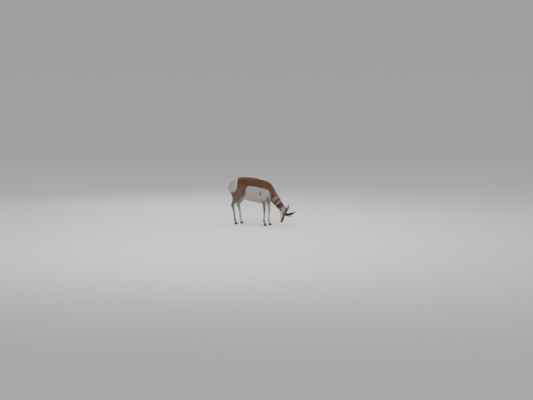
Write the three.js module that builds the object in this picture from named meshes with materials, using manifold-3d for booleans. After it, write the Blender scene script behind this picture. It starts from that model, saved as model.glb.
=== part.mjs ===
// A grazing pronghorn buck at life size, standing square with its head down.
// Millimetres. +X runs forward to the head, +Y to the animal's left, +Z up, and the hooves stand at Z = 0.
import * as THREE from "three";
import { mergeVertices } from "three/addons/utils/BufferGeometryUtils.js";
import Module from "manifold-3d";

const wasm = await Module();
wasm.setup();

// Driving sizes.
const GAP = 0.3; // left between two neighbouring pieces
const ORIGIN_X = 213.3; // from the middle of the trunk forward to the middle of the whole animal
const HEAD = { x: 704, z: 348, degrees: -103 }; // middle of the occiput, and the way the nose points
const EYE = { along: 112, up: 29, side: 40, radius: 19 };
// Half sizes from root to tip.
const HORN = { depth: [25, 22, 19.5, 15, 9, 2], width: [13.5, 12, 10.5, 9, 6.5, 1.8] };
const PRONG = { depth: [24, 21, 13, 2], width: [8, 7, 5, 1.5] };
const EAR = { root: [72, 33, 29], tip: [-70, 36, 101], width: 26, wall: 4, bow: 13 };
const HOOF = { height: 34, length: 66, width: 23.5, split: 3, slope: 0.36 };
const MANE = { rows: 3, perRow: 10, length: 92, width: 30, thick: 9, spread: 15 };
const TAIL = { length: 112, locks: 11 };

const COLOURS = {
  rufous: 0x9a5a34,
  tan: 0xb08a62,
  cream: 0xe9e2d4,
  dark: 0x2a211c,
  horn: 0x1e1a17,
  eye: 0x0d0a08,
};

// A repeatable draw between -1 and 1.
let seed = 7;
function draw() {
  seed = (seed * 16807) % 2147483647;
  return (2 * seed) / 2147483647 - 1;
}

const V = (x, y, z) => new THREE.Vector3(x, y, z);

// One closed solid from its points and triangles, turned to face outwards.
function closed(points, triangles) {
  let volume = 0;
  for (const [a, b, c] of triangles) {
    volume += points[a].dot(points[b].clone().cross(points[c]));
  }
  const index = triangles.flatMap(([a, b, c]) => (volume < 0 ? [a, c, b] : [a, b, c]));
  const geometry = new THREE.BufferGeometry().setFromPoints(points);
  geometry.setIndex(index);
  return solidOf(geometry);
}

// A three.js geometry as a solid that can be joined and cut.
function solidOf(geometry) {
  const bare = geometry.clone();
  bare.deleteAttribute("normal");
  bare.deleteAttribute("uv");
  const merged = mergeVertices(bare, 1e-3);
  return new wasm.Manifold(
    new wasm.Mesh({
      numProp: 3,
      vertProperties: new Float32Array(merged.attributes.position.array),
      triVerts: new Uint32Array(merged.index.array),
    }),
  );
}

// The smooth value between the listed ones, which it passes through.
function between(values, place) {
  const last = values.length - 1;
  const i = Math.min(Math.floor(place * last), last - 1);
  const t = place * last - i;
  const b = values[i];
  const c = values[i + 1];
  const a = i > 0 ? values[i - 1] : 2 * b - c;
  const d = i + 2 <= last ? values[i + 2] : 2 * c - b;
  const bend = 2 * a - 5 * b + 4 * c - d;
  return b + 0.5 * t * (c - a + t * (bend + t * (3 * (b - c) + d - a)));
}

// A closed tube of rings. Caps are fans to each end ring's middle, or strips on a folded ring.
function skin(rings, folded = false) {
  const sides = rings[0].length;
  const points = rings.flat();
  const triangles = [];
  for (let i = 0; i + 1 < rings.length; i++) {
    for (let j = 0; j < sides; j++) {
      const a = i * sides + j;
      const b = i * sides + ((j + 1) % sides);
      triangles.push([a, a + sides, b + sides], [a, b + sides, b]);
    }
  }
  for (const [row, turn] of [[0, false], [rings.length - 1, true]]) {
    const first = row * sides;
    const faces = [];
    if (folded) {
      for (let k = 0; k + 1 < sides / 2; k++) {
        const outer = first + k;
        const inner = first + sides - 1 - k;
        faces.push([outer, outer + 1, inner - 1], [outer, inner - 1, inner]);
      }
    } else {
      const middle = rings[row].reduce((sum, p) => sum.add(p), V(0, 0, 0)).divideScalar(sides);
      points.push(middle);
      for (let j = 0; j < sides; j++) {
        faces.push([points.length - 1, first + j, first + ((j + 1) % sides)]);
      }
    }
    triangles.push(...faces.map(([a, b, c]) => (turn ? [a, c, b] : [a, b, c])));
  }
  return closed(points, triangles);
}

// A body form along a path. A station is a place, then half sizes up or forward, down or back, and across.
function form(stations, steps, sides, square = 1) {
  const column = (k) => stations.map((s) => s[k]);
  const columns = [0, 1, 2, 3, 4, 5].map(column);
  const at = (place) => V(...columns.slice(0, 3).map((c) => between(c, place)));
  const rings = [];
  for (let i = 0; i <= steps; i++) {
    const place = i / steps;
    const nudge = 1e-3;
    const along = at(Math.min(1, place + nudge)).sub(at(Math.max(0, place - nudge))).normalize();
    const across = V(0, 1, 0).addScaledVector(along, -along.y).normalize();
    const up = along.clone().cross(across);
    const [high, low, wide] = columns.slice(3).map((c) => between(c, place));
    const ring = [];
    for (let j = 0; j < sides; j++) {
      const turn = (2 * Math.PI * j) / sides;
      const c = Math.sign(Math.cos(turn)) * Math.abs(Math.cos(turn)) ** square;
      const s = Math.sign(Math.sin(turn)) * Math.abs(Math.sin(turn)) ** square;
      ring.push(at(place).addScaledVector(up, c * (c > 0 ? high : low)).addScaledVector(across, s * wide));
    }
    rings.push(ring);
  }
  return skin(rings);
}

// An ellipsoid with its own middle, half sizes and turn about Y in degrees.
function bulge(middle, half, degrees = 0, detail = 12) {
  const geometry = new THREE.SphereGeometry(1, detail, Math.round(detail * 0.7));
  geometry.scale(...half);
  geometry.rotateY(THREE.MathUtils.degToRad(-degrees));
  geometry.translate(...middle);
  return solidOf(geometry);
}

// A box between two opposite corners.
function block(low, high) {
  const geometry = new THREE.BoxGeometry(high[0] - low[0], high[1] - low[1], high[2] - low[2]);
  geometry.translate((low[0] + high[0]) / 2, (low[1] + high[1]) / 2, (low[2] + high[2]) / 2);
  return solidOf(geometry);
}

const joined = (solids) => solids.reduce((sum, s) => sum.add(s));
const mirrored = (stations, side) => stations.map((s) => [s[0], s[1] * side, ...s.slice(2)]);

// The largest closed body of a solid, so that no scrap of a cut stays.
function largest(solid) {
  return solid.decompose().reduce((best, s) => (s.volume() > best.volume() ? s : best));
}

// Everything on the side of a slanted plane that its normal points to, as a big block.
function beyond(x, z, degrees, shift = 0) {
  const size = 2000;
  const geometry = new THREE.BoxGeometry(size, size, size);
  geometry.translate(size / 2 + shift, 0, 0);
  geometry.rotateY(THREE.MathUtils.degToRad(-degrees));
  geometry.translate(x, 0, z);
  return solidOf(geometry);
}

// Trunk: rump to chest, deep at the girth, tucked up at the flank.
const TRUNK = [
  [-448, 0, 720, 20, 24, 20],
  [-432, 0, 716, 62, 84, 70],
  [-390, 0, 710, 120, 144, 110],
  [-318, 0, 700, 167, 176, 130],
  [-235, 0, 694, 198, 198, 138],
  [-140, 0, 688, 213, 216, 142],
  [-40, 0, 682, 217, 232, 152],
  [60, 0, 674, 218, 243, 158],
  [160, 0, 664, 208, 248, 150],
  [240, 0, 655, 199, 243, 134],
  [305, 0, 645, 191, 220, 120],
  [358, 0, 634, 166, 178, 104],
  [396, 0, 616, 124, 124, 80],
  [420, 0, 604, 62, 64, 46],
];

// Neck: down and forward from the withers to the occiput.
const NECK = [
  [250, 0, 668, 150, 170, 92],
  [330, 0, 640, 134, 150, 92],
  [400, 0, 598, 112, 122, 82],
  [460, 0, 550, 92, 102, 72],
  [517, 0, 496, 83, 91, 63],
  [570, 0, 438, 77, 84, 57],
  [618, 0, 382, 73, 77, 52],
  [660, 0, 332, 67, 68, 48],
  [692, 0, 296, 57, 56, 43],
];

// Left limbs from body to coronet: across, the half sizes are forward, back and sideways.
const FORELEG = [
  [262, 62, 775, 66, 66, 30],
  [290, 74, 700, 96, 98, 50],
  [308, 84, 612, 102, 104, 52],
  [314, 88, 535, 84, 88, 46],
  [322, 88, 472, 56, 62, 37],
  [333, 85, 408, 38, 42, 29],
  [339, 82, 345, 28, 31, 23],
  [344, 81, 298, 29, 27, 24],
  [341, 81, 258, 20, 23, 18],
  [338, 80, 180, 17, 18, 14.5],
  [336, 80, 112, 17, 20, 16],
  [338, 80, 80, 22, 25, 21],
  [350, 80, 54, 18, 20, 19],
  [362, 80, 30, 22, 26, 25],
];
const HINDLEG = [
  [-250, 58, 805, 80, 84, 36],
  [-262, 78, 730, 130, 132, 60],
  [-260, 90, 650, 144, 140, 60],
  [-256, 98, 575, 128, 118, 54],
  [-268, 102, 508, 96, 86, 45],
  [-298, 102, 448, 62, 58, 34],
  [-330, 99, 395, 38, 46, 26],
  [-344, 97, 350, 30, 46, 24],
  [-337, 96, 300, 24, 27, 19],
  [-325, 95, 205, 18, 20, 15],
  [-314, 94, 125, 17, 21, 16],
  [-309, 93, 86, 23, 26, 21],
  [-296, 92, 56, 18, 20, 19],
  [-284, 92, 30, 22, 26, 25],
];
const LEGS = [
  { name: "fore_right", stations: FORELEG, side: -1, shift: -12, cut: 452, span: [262, 396] },
  { name: "fore_left", stations: FORELEG, side: 1, shift: 6, cut: 452, span: [262, 396] },
  { name: "hind_right", stations: HINDLEG, side: -1, shift: 22, cut: 520, span: [-392, -150] },
  { name: "hind_left", stations: HINDLEG, side: 1, shift: 42, cut: 520, span: [-392, -150] },
];
const KNEE_CUT = { fore: 272, hind: 322 }; // height of the cut below the knee and below the hock

// A place in the head's own frame: along the face from the occiput, up to the brow, and sideways.
const nose = THREE.MathUtils.degToRad(HEAD.degrees);
function onHead(along, up, side) {
  const x = HEAD.x + along * Math.cos(nose) - up * Math.sin(nose);
  const z = HEAD.z + along * Math.sin(nose) + up * Math.cos(nose);
  return V(x, side, z);
}
const headStation = (along, up, down, wide) => [...onHead(along, 0, 0).toArray(), up, down, wide];
function onHeadBulge(along, up, side, half, detail) {
  return bulge(onHead(along, up, side).toArray(), half, HEAD.degrees, detail);
}

// Skull, muzzle and jaw in one form, with brow, jaw muscle, orbits, lips and chin added.
function headSolid() {
  const skull = form(
    [
      headStation(-12, 20, 22, 18),
      headStation(2, 46, 50, 40),
      headStation(40, 58, 68, 51),
      headStation(78, 61, 74, 55),
      headStation(112, 60, 66, 52),
      headStation(148, 49, 54, 42),
      headStation(188, 39, 42, 32),
      headStation(226, 33, 34, 26),
      headStation(256, 29, 29, 25),
      headStation(275, 24, 25, 22),
      headStation(287, 13, 15, 13),
    ],
    18,
    18,
    0.9,
  );
  const pieces = [skull];
  for (const side of [-1, 1]) {
    pieces.push(onHeadBulge(EYE.along, EYE.up + 6, side * 36, [34, 24, 27]));
    pieces.push(onHeadBulge(74, -22, side * 33, [48, 21, 42]));
    pieces.push(onHeadBulge(118, 46, side * 33, [24, 19, 20]));
    pieces.push(onHeadBulge(256, -12, side * 13, [26, 13, 10], 10));
    pieces.push(onHeadBulge(264, 12, side * 13, [20, 11, 13], 10));
    const lid = new THREE.SphereGeometry(EYE.radius + 3, 14, 10);
    lid.translate(...onHead(EYE.along, EYE.up, side * EYE.side).toArray());
    pieces.push(solidOf(lid));
  }
  pieces.push(onHeadBulge(258, -24, 0, [26, 17, 10], 10));
  let head = joined(pieces);
  for (const side of [-1, 1]) {
    head = head.subtract(eyeSolid(side, GAP));
    head = head.subtract(lidOpening(side));
    head = head.subtract(onHeadBulge(277, 12, side * 14, [9, 9, 4.5], 10));
    head = head.subtract(mouthLine(side));
  }
  return head;
}

// The slit between the lids: a lens that is wider along the face than it is high.
function lidOpening(side) {
  const [half, high, reach] = [20, 12.5, 34];
  const arch = (k, sign) => [half * (2 * k - 1), sign * high * Math.sin(Math.PI * k)];
  const outline = [];
  const steps = 8;
  for (let i = 0; i < steps; i++) {
    outline.push(arch(i / steps, 1));
  }
  for (let i = 0; i < steps; i++) {
    outline.push(arch(1 - i / steps, -1));
  }
  const rings = [EYE.side + 2, EYE.side + reach].map((y) =>
    outline.map(([a, u]) => onHead(EYE.along + a, EYE.up + 1 + u - 0.14 * a, side * y)),
  );
  return skin(rings);
}

// The mouth's line, a narrow groove from below the nose back along each side of the muzzle.
function mouthLine(side) {
  const rings = [];
  const steps = 6;
  for (let i = 0; i <= steps; i++) {
    const t = i / steps;
    const along = 292 - 84 * t;
    const up = -14 - 4 * Math.sin(Math.PI * t) + 2 * t;
    const [inner, outer] = [8 + 16 * t, 24 + 14 * t];
    const open = 1.6;
    rings.push([
      onHead(along, up + open, side * inner),
      onHead(along, up + open, side * outer),
      onHead(along, up - open, side * outer),
      onHead(along, up - open, side * inner),
    ]);
  }
  return skin(rings);
}

function eyeSolid(side, grow = 0) {
  const ball = new THREE.SphereGeometry(EYE.radius + grow, 16, 11);
  ball.translate(...onHead(EYE.along, EYE.up, side * EYE.side).toArray());
  return solidOf(ball);
}

// A horn: a flattened blade that leans back and out, hooks in at the tip and bears one forward prong.
function hornSolid(side) {
  const path = [
    [118, 44, 35],
    [106, 92, 43],
    [88, 134, 53],
    [63, 173, 61],
    [34, 200, 62],
    [8, 212, 54],
  ];
  const forward = [
    [90, 108, 48],
    [106, 123, 51],
    [121, 141, 53],
    [134, 160, 53],
  ];
  const placed = (places, { depth, width }) =>
    places.map((p, i) => [...onHead(p[0], p[1], side * p[2]).toArray(), depth[i], depth[i], width[i]]);
  return form(placed(path, HORN), 16, 10).add(form(placed(forward, PRONG), 7, 8));
}

// An ear: a leaf rolled into a cup that opens outwards, from a closed tube at its root to a point.
function earSolid(side) {
  const [root, tip] = [EAR.root, EAR.tip].map(([along, up, out]) => onHead(along, up, side * out));
  const length = tip.clone().sub(root);
  const along = length.clone().normalize();
  const opening = onHead(60, 10, side * 100).sub(onHead(0, 0, 0));
  opening.addScaledVector(along, -opening.dot(along)).normalize();
  const across = along.clone().cross(opening);
  const [steps, arc] = [11, 9];
  const rings = [];
  for (let i = 0; i <= steps; i++) {
    const t = i / steps;
    const leaf = between([0.5, 0.8, 1, 0.96, 0.7, 0.07], t) * EAR.width;
    const roll = THREE.MathUtils.degToRad(between([155, 132, 104, 84, 70, 62], t));
    const radius = leaf / Math.sin(Math.min(roll, Math.PI / 2));
    const wall = Math.min(EAR.wall * (1 - 0.45 * t), radius * 0.5);
    const bow = EAR.bow * Math.sin(Math.PI * t);
    const middle = root.clone().addScaledVector(length, t).addScaledVector(opening, radius - bow);
    const point = (turn, r) => {
      const [aside, open] = [r * Math.sin(turn), -r * Math.cos(turn)];
      return middle.clone().addScaledVector(across, aside).addScaledVector(opening, open);
    };
    const turns = Array.from({ length: arc }, (_, k) => roll * ((2 * k) / (arc - 1) - 1));
    const outside = turns.map((turn) => point(turn, radius));
    const inside = turns.map((turn) => point(turn, radius - wall));
    rings.push([...outside, ...inside.reverse()]);
  }
  return skin(rings, true);
}

// A lock of hair: a flat blade, sunk at its root, that bends from its first heading to its last and tapers.
function lock(root, first, last, across, length, width, thick) {
  const steps = 3;
  const rings = [];
  const spot = root.clone();
  for (let i = 0; i <= steps; i++) {
    const t = i / steps;
    const heading = first.clone().lerp(last, t).normalize();
    const flat = across.clone().addScaledVector(heading, -across.dot(heading)).normalize();
    const up = heading.clone().cross(flat);
    const taper = i === steps ? 0.08 : 1 - 0.55 * t * t;
    const [w, h] = [(width / 2) * taper, (thick / 2) * taper];
    rings.push([
      spot.clone().addScaledVector(flat, w),
      spot.clone().addScaledVector(up, h),
      spot.clone().addScaledVector(flat, -w),
      spot.clone().addScaledVector(up, -h),
    ]);
    spot.addScaledVector(heading, length / steps);
  }
  return skin(rings);
}

// The short mane: rows of locks down the nape that rise a little and lie back towards the withers.
function maneLocks() {
  const locks = [];
  for (let row = 0; row < MANE.rows; row++) {
    const offset = (row - (MANE.rows - 1) / 2) * MANE.spread;
    for (let i = 0; i < MANE.perRow; i++) {
      const place = 0.36 + (0.5 * (i + 0.5 * (row % 2))) / MANE.perRow;
      const [x, z, high] = [0, 2, 3].map((k) => between(NECK.map((s) => s[k]), place));
      const ahead = [0, 2].map((k) => between(NECK.map((s) => s[k]), place + 0.01));
      const along = V(ahead[0] - x, 0, ahead[1] - z).normalize();
      const up = V(-along.z, 0, along.x);
      const sink = 13 + Math.abs(offset) * 0.25;
      const root = V(x, offset, z).addScaledVector(up, high - sink);
      const back = along.clone().negate();
      const first = up.clone().multiplyScalar(0.52 + 0.06 * draw()).add(back).add(V(0, offset / 50, 0));
      const last = back.clone().addScaledVector(up, 0.03 + 0.04 * draw()).add(V(0, offset / 120, 0));
      const long = MANE.length * (1 - 0.25 * Math.abs(offset / MANE.spread)) * (1 + 0.1 * draw());
      locks.push(lock(root, first, last, V(0, 1, 0), long, MANE.width, MANE.thick));
    }
  }
  return locks;
}

// The tail: a short dock with locks that lie down over it on all sides.
function tailSolid() {
  const dock = [
    [-400, 0, 800, 15, 15, 17],
    [-430, 0, 776, 16, 16, 19],
    [-446, 0, 742, 14, 14, 17],
    [-452, 0, 706, 10, 10, 13],
    [-453, 0, 676, 4, 4, 5],
  ];
  const pieces = [form(dock, 9, 12)];
  for (let i = 0; i < TAIL.locks; i++) {
    const t = (i + 0.5) / TAIL.locks;
    const turn = 2.4 * i;
    const place = 0.3 + 0.4 * t;
    const [x, z, half] = [0, 2, 3].map((k) => between(dock.map((s) => s[k]), place));
    const out = V(Math.cos(turn) * 0.7 - 0.3, Math.sin(turn), 0);
    const root = V(x, 0, z).addScaledVector(out, half * 0.5);
    const first = out.clone().multiplyScalar(0.75).add(V(-0.2, 0, -1));
    const last = V(-0.02 + 0.05 * draw(), out.y * 0.12, -1);
    const across = out.clone().cross(V(0, 0, 1)).normalize();
    pieces.push(lock(root, first, last, across, TAIL.length * 0.5, 19, 8));
  }
  return joined(pieces);
}

// One claw of a hoof: a flat sole with a curved outer wall, drawn in and back towards the coronet.
function clawSolid(centre, ground, heel, outward) {
  const sole = [];
  const steps = 7;
  for (let i = 0; i <= steps; i++) {
    const t = i / steps;
    sole.push([HOOF.length * t, HOOF.width * (0.8 * Math.sqrt(1 - t ** 2.2) + 0.2 * (1 - t))]);
  }
  sole.push([HOOF.length * 0.96, 0], [0, 0]);
  const levels = [0, 0.2, 0.6, 1];
  const top = HOOF.height - GAP;
  const rings = levels.map((level) => {
    const reach = 1 - HOOF.slope * level ** 1.1;
    const narrow = 1 - 0.12 * level;
    return sole.map(([x, y]) => {
      const across = HOOF.split / 2 + y * narrow;
      return V(heel + 6 * level + x * reach, centre + outward * across, ground + top * level);
    });
  });
  return skin(rings);
}

// The whole animal, before it is parted.
const trunk = form(TRUNK, 30, 28, 0.94);
const neck = form(NECK, 20, 22, 0.95);
const legForms = LEGS.map(({ stations, side, shift }) => {
  const placed = mirrored(stations, side).map((s) => {
    const reach = THREE.MathUtils.smoothstep(600 - s[2], 0, 400);
    return [s[0] + shift * reach, ...s.slice(1)];
  });
  return form(placed, 32, 14, 0.97);
});
const body = joined([trunk, neck, ...legForms]);

// Where the parts meet: slanted planes across the neck, and boxes round each leg.
const SHOULDER_CUT = { x: 395, z: 640, degrees: 22 };
const POLL_CUT = { x: 668, z: 343, degrees: -62 };
const halfGap = GAP / 2;
const ahead = (cut, shift) => beyond(cut.x, cut.z, cut.degrees, shift);

const group = new THREE.Group();
const materials = Object.fromEntries(
  Object.entries(COLOURS).map(([name, color]) => {
    const shiny = name === "eye";
    return [name, new THREE.MeshStandardMaterial({ color, roughness: shiny ? 0.08 : 0.85, metalness: 0 })];
  }),
);

function add(name, solid, material) {
  const mesh = largest(solid).getMesh();
  const geometry = new THREE.BufferGeometry();
  const points = new Float32Array(mesh.numVert * 3);
  for (let i = 0; i < mesh.numVert; i++) {
    points.set(mesh.vertProperties.subarray(i * mesh.numProp, i * mesh.numProp + 3), i * 3);
  }
  geometry.setAttribute("position", new THREE.BufferAttribute(points, 3));
  geometry.setIndex(new THREE.BufferAttribute(mesh.triVerts, 1));
  geometry.computeVertexNormals();
  const made = new THREE.Mesh(geometry, materials[material]);
  made.name = name;
  group.add(made);
}

const front = ahead(SHOULDER_CUT, halfGap);
const rear = ahead(SHOULDER_CUT, -halfGap);
let torso = body.subtract(rear);
for (const { name, stations, side, shift, cut, span } of LEGS) {
  const knee = name.startsWith("fore") ? KNEE_CUT.fore : KNEE_CUT.hind;
  const inner = 44;
  const box = (from, to, grow) => {
    const ys = [side * (inner - grow), side * 220].sort((a, b) => a - b);
    return block([span[0] - grow, ys[0], from], [span[1] + grow, ys[1], to]);
  };
  const whole = legForms[LEGS.findIndex((leg) => leg.name === name)];
  add(`${name}_upper`, body.intersect(box(knee, cut - GAP, 0)), "tan");
  add(`${name}_lower`, whole.intersect(block([-600, -300, HOOF.height], [600, 300, knee - GAP])), "tan");
  torso = torso.subtract(box(-50, cut, GAP));
  const foot = stations.at(-1);
  const heel = foot[0] + shift - 27;
  for (const [claw, outward] of [["inner", -side], ["outer", side]]) {
    add(`${name}_hoof_${claw}`, clawSolid(foot[1] * side, 0, heel, outward), "dark");
  }
}

const rump = form(TRUNK.map((s) => s.map((size, k) => (k > 2 ? size + 2 * GAP : size))), 30, 28, 0.94);
add("tail", tailSolid().subtract(rump), "rufous");
add("torso", torso, "rufous");

const pollFront = ahead(POLL_CUT, halfGap);
const pollRear = ahead(POLL_CUT, -halfGap);
const headWhole = headSolid().add(neck.intersect(pollFront));
const neckPiece = joined([body, headWhole, ...maneLocks()]).intersect(front).subtract(pollRear);
add("neck", neckPiece, "rufous");

const horns = [-1, 1].map((side) => hornSolid(side));
const ears = [-1, 1].map((side) => earSolid(side));
const headCut = headWhole.intersect(pollFront);
add("head", headCut, "cream");
[-1, 1].forEach((side, i) => {
  const name = side < 0 ? "right" : "left";
  add(`eye_${name}`, eyeSolid(side), "eye");
  add(`horn_${name}`, horns[i].subtract(headCut), "horn");
  add(`ear_${name}`, ears[i].subtract(joined([headCut, horns[i], neckPiece])), "tan");
});

group.position.set(-ORIGIN_X, 0, 0);
export default group;
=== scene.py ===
import math

import bmesh
import bpy
import numpy as np
from mathutils import Matrix, Vector


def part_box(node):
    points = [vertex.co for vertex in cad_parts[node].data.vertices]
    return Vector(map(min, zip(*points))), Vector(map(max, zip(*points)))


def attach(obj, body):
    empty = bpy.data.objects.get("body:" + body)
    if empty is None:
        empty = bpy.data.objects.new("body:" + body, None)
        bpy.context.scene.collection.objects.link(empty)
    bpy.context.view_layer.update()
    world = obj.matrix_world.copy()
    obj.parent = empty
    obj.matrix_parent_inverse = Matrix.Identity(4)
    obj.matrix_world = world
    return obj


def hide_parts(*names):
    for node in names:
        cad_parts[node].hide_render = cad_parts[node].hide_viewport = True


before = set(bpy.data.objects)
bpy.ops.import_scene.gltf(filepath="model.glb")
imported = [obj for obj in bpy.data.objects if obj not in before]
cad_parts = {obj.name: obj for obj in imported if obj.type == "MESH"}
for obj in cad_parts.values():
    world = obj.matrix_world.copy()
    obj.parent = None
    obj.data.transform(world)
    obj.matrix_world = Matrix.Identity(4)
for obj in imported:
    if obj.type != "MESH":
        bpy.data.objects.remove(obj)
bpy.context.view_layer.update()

# Viewpoint: level with the animal's back and well away, a little ahead of its right side,
# so that its near shoulder and its head come towards the camera.
AZIMUTH = math.radians(28)
CAMERA_AWAY = 20.0
CAMERA_HEIGHT = 2.25
AIM = (0.296, 0.463)  # to the right of the trunk's middle, and above the floor
TRUNK_MIDDLE = Vector((-0.2133, 0, 0))
to_right = Vector((math.cos(AZIMUTH), math.sin(AZIMUTH), 0))
into_scene = Vector((-math.sin(AZIMUTH), math.cos(AZIMUTH), 0))
camera_data = bpy.data.cameras.new("viewpoint")
camera_data.lens = 72.07
camera_data.sensor_width = 36
camera_data.clip_end = 200
camera = bpy.data.objects.new("viewpoint", camera_data)
bpy.context.collection.objects.link(camera)
camera.location = TRUNK_MIDDLE - into_scene * CAMERA_AWAY + Vector((0, 0, CAMERA_HEIGHT))
aim = TRUNK_MIDDLE + to_right * AIM[0] + Vector((0, 0, AIM[1]))
camera.rotation_euler = (aim - camera.location).to_track_quat("-Z", "Y").to_euler()
bpy.context.scene.camera = camera

# Light: an even pale sky, one broad soft lamp above the animal's right side, a weaker one
# on the other side behind it, and one straight overhead that lights the back and the floor.
world = bpy.data.worlds.new("studio")
world.use_nodes = True
sky = world.node_tree.nodes["Background"]
sky.inputs["Color"].default_value = (0.93, 0.95, 1.0, 1)
sky.inputs["Strength"].default_value = 0.78
bpy.context.scene.world = world
for name, place, power, size in (
    ("key", (1.5, -5.0, 5.5), 290, 4.0),
    ("fill", (-4.5, 3.5, 4.0), 80, 4.5),
    ("top", (0.0, 0.5, 6.5), 240, 5.0),
):
    lamp = bpy.data.lights.new(name, "AREA")
    lamp.energy = power
    lamp.size = size
    holder = bpy.data.objects.new(name, lamp)
    holder.location = place
    holder.rotation_euler = (Vector((0, 0, 0.5)) - Vector(place)).to_track_quat("-Z", "Y").to_euler()
    bpy.context.collection.objects.link(holder)


# Floor: a plain pale studio floor, painted and matt, that rises in a round sweep
# into its own backdrop, far behind the animal on every side.
class Wire:
    """A socket of a material's tree, with Python's operators, which add the Math nodes."""

    def __init__(self, tree, socket):
        self.tree = tree
        self.socket = socket

    def node(self, kind, settings, inputs, output=0):
        made = self.tree.nodes.new(kind)
        for name, value in settings.items():
            setattr(made, name, value)
        for place, value in inputs.items():
            if isinstance(value, Wire):
                self.tree.links.new(value.socket, made.inputs[place])
            else:
                made.inputs[place].default_value = value
        return Wire(self.tree, made.outputs[output])

    def math(self, operation, *others):
        return self.node("ShaderNodeMath", {"operation": operation}, dict(enumerate((self, *others))))

    def __add__(self, other):
        return self.math("ADD", other)

    __radd__ = __add__

    def __mul__(self, other):
        return self.math("MULTIPLY", other)

    __rmul__ = __mul__

    def __sub__(self, other):
        return self.math("SUBTRACT", other)

    def __rsub__(self, other):
        return (self * -1.0).math("ADD", other)

    def __abs__(self):
        return self.math("ABSOLUTE")

    def squared(self, size):
        """The square of this value, measured in a size."""
        return (self * (1 / size)).math("POWER", 2.0)

    def rise(self, start, end):
        """0 up to start, 1 from end on, and smooth between."""
        sockets = {0: self, 1: start, 2: end, 3: 0.0, 4: 1.0}
        return self.node("ShaderNodeMapRange", {"interpolation_type": "SMOOTHSTEP"}, sockets)

    def fall(self, start, end):
        """1 up to start, 0 from end on, and smooth between."""
        return 1 - self.rise(start, end)

    def parts(self):
        """The X, Y and Z of this place."""
        split = self.tree.nodes.new("ShaderNodeSeparateXYZ")
        self.tree.links.new(self.socket, split.inputs[0])
        return [Wire(self.tree, out) for out in split.outputs]

    def noise(self, scale, detail=2.0, stretch=(1, 1, 1), output=0):
        """Soft noise at this place: its value, or its colour from output 1."""
        drawn = self.node("ShaderNodeMapping", {"vector_type": "POINT"}, {0: self, 3: stretch})
        sockets = {"Vector": drawn, "Scale": scale, "Detail": detail}
        return self.node("ShaderNodeTexNoise", {"noise_dimensions": "3D"}, sockets, output)

    def shift(self, other, amount):
        """This place moved by another vector, for an uneven edge."""
        moved = self.node("ShaderNodeVectorMath", {"operation": "SUBTRACT"}, {0: other, 1: (0.5, 0.5, 0.5)})
        moved = self.node("ShaderNodeVectorMath", {"operation": "SCALE"}, {0: moved, "Scale": amount})
        return self.node("ShaderNodeVectorMath", {"operation": "ADD"}, {0: self, 1: moved})

    def blend(self, colour, other):
        """Mixes from one colour to another by this value."""
        sockets = {0: self, 6: opaque(colour), 7: opaque(other)}
        return self.node("ShaderNodeMix", {"data_type": "RGBA"}, sockets, 2)

    def times(self, colour):
        """The colour made lighter or darker by this value."""
        grey = self.node("ShaderNodeCombineXYZ", {}, {0: self, 1: self, 2: self})
        return self.node("ShaderNodeVectorMath", {"operation": "MULTIPLY"}, {0: colour, 1: grey})


def opaque(colour):
    return colour if isinstance(colour, Wire) else (*colour, 1)


def finish(name, roughness, **fixed):
    """A new material, its shader, and the place on the piece as a Wire."""
    material = bpy.data.materials.new(name)
    material.use_nodes = True
    tree = material.node_tree
    shader = tree.nodes["Principled BSDF"]
    shader.inputs["Roughness"].default_value = roughness
    for socket, value in fixed.items():
        shader.inputs[socket.replace("_", " ")].default_value = value
    place = Wire(tree, tree.nodes.new("ShaderNodeTexCoord").outputs["Object"])
    return material, shader, place


def feed(shader, socket, wire):
    """Lets a value drive one socket of a shader."""
    wire.tree.links.new(wire.socket, shader.inputs[socket])


def bumps(shader, height, strength, distance):
    """Lets a height raise the surface in the light."""
    sockets = {"Height": height, "Strength": strength, "Distance": distance}
    feed(shader, "Normal", height.node("ShaderNodeBump", {}, sockets))


def shown(name, mesh, *materials):
    """A new object in the scene for a mesh."""
    made = bpy.data.objects.new(name, mesh)
    bpy.context.collection.objects.link(made)
    for material in materials:
        mesh.materials.append(material)
    return made


def surface(points, faces, name="mesh"):
    """A mesh from its points and faces."""
    mesh = bpy.data.meshes.new(name)
    mesh.from_pydata([tuple(p) for p in points], [], faces)
    mesh.update()
    return mesh


FLOOR_COLOUR = (0.66, 0.65, 0.63)
floor_finish, shader, place = finish("studio_floor", 0.9)
shader.inputs["Base Color"].default_value = opaque(FLOOR_COLOUR)
bumps(shader, place.noise(40.0, 4.0), 0.15, 0.002)
FLOOR_PROFILE = [(6.0, 0.0), (26.0, 0.0), (30.0, 0.5), (33.0, 2.0), (35.0, 5.0), (36.0, 9.0), (36.5, 16.0)]
FLOOR_SIDES = 96
points = []
for radius, height in FLOOR_PROFILE:
    for k in range(FLOOR_SIDES):
        turn = 2 * math.pi * k / FLOOR_SIDES
        points.append((radius * math.cos(turn), radius * math.sin(turn), height))
faces = [tuple(range(FLOOR_SIDES))]
for row in range(len(FLOOR_PROFILE) - 1):
    for k in range(FLOOR_SIDES):
        a, b = row * FLOOR_SIDES + k, row * FLOOR_SIDES + (k + 1) % FLOOR_SIDES
        faces.append((a, a + FLOOR_SIDES, b + FLOOR_SIDES, b))
floor = shown("floor", surface(points, faces), floor_finish)
floor.data.shade_smooth()

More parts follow.
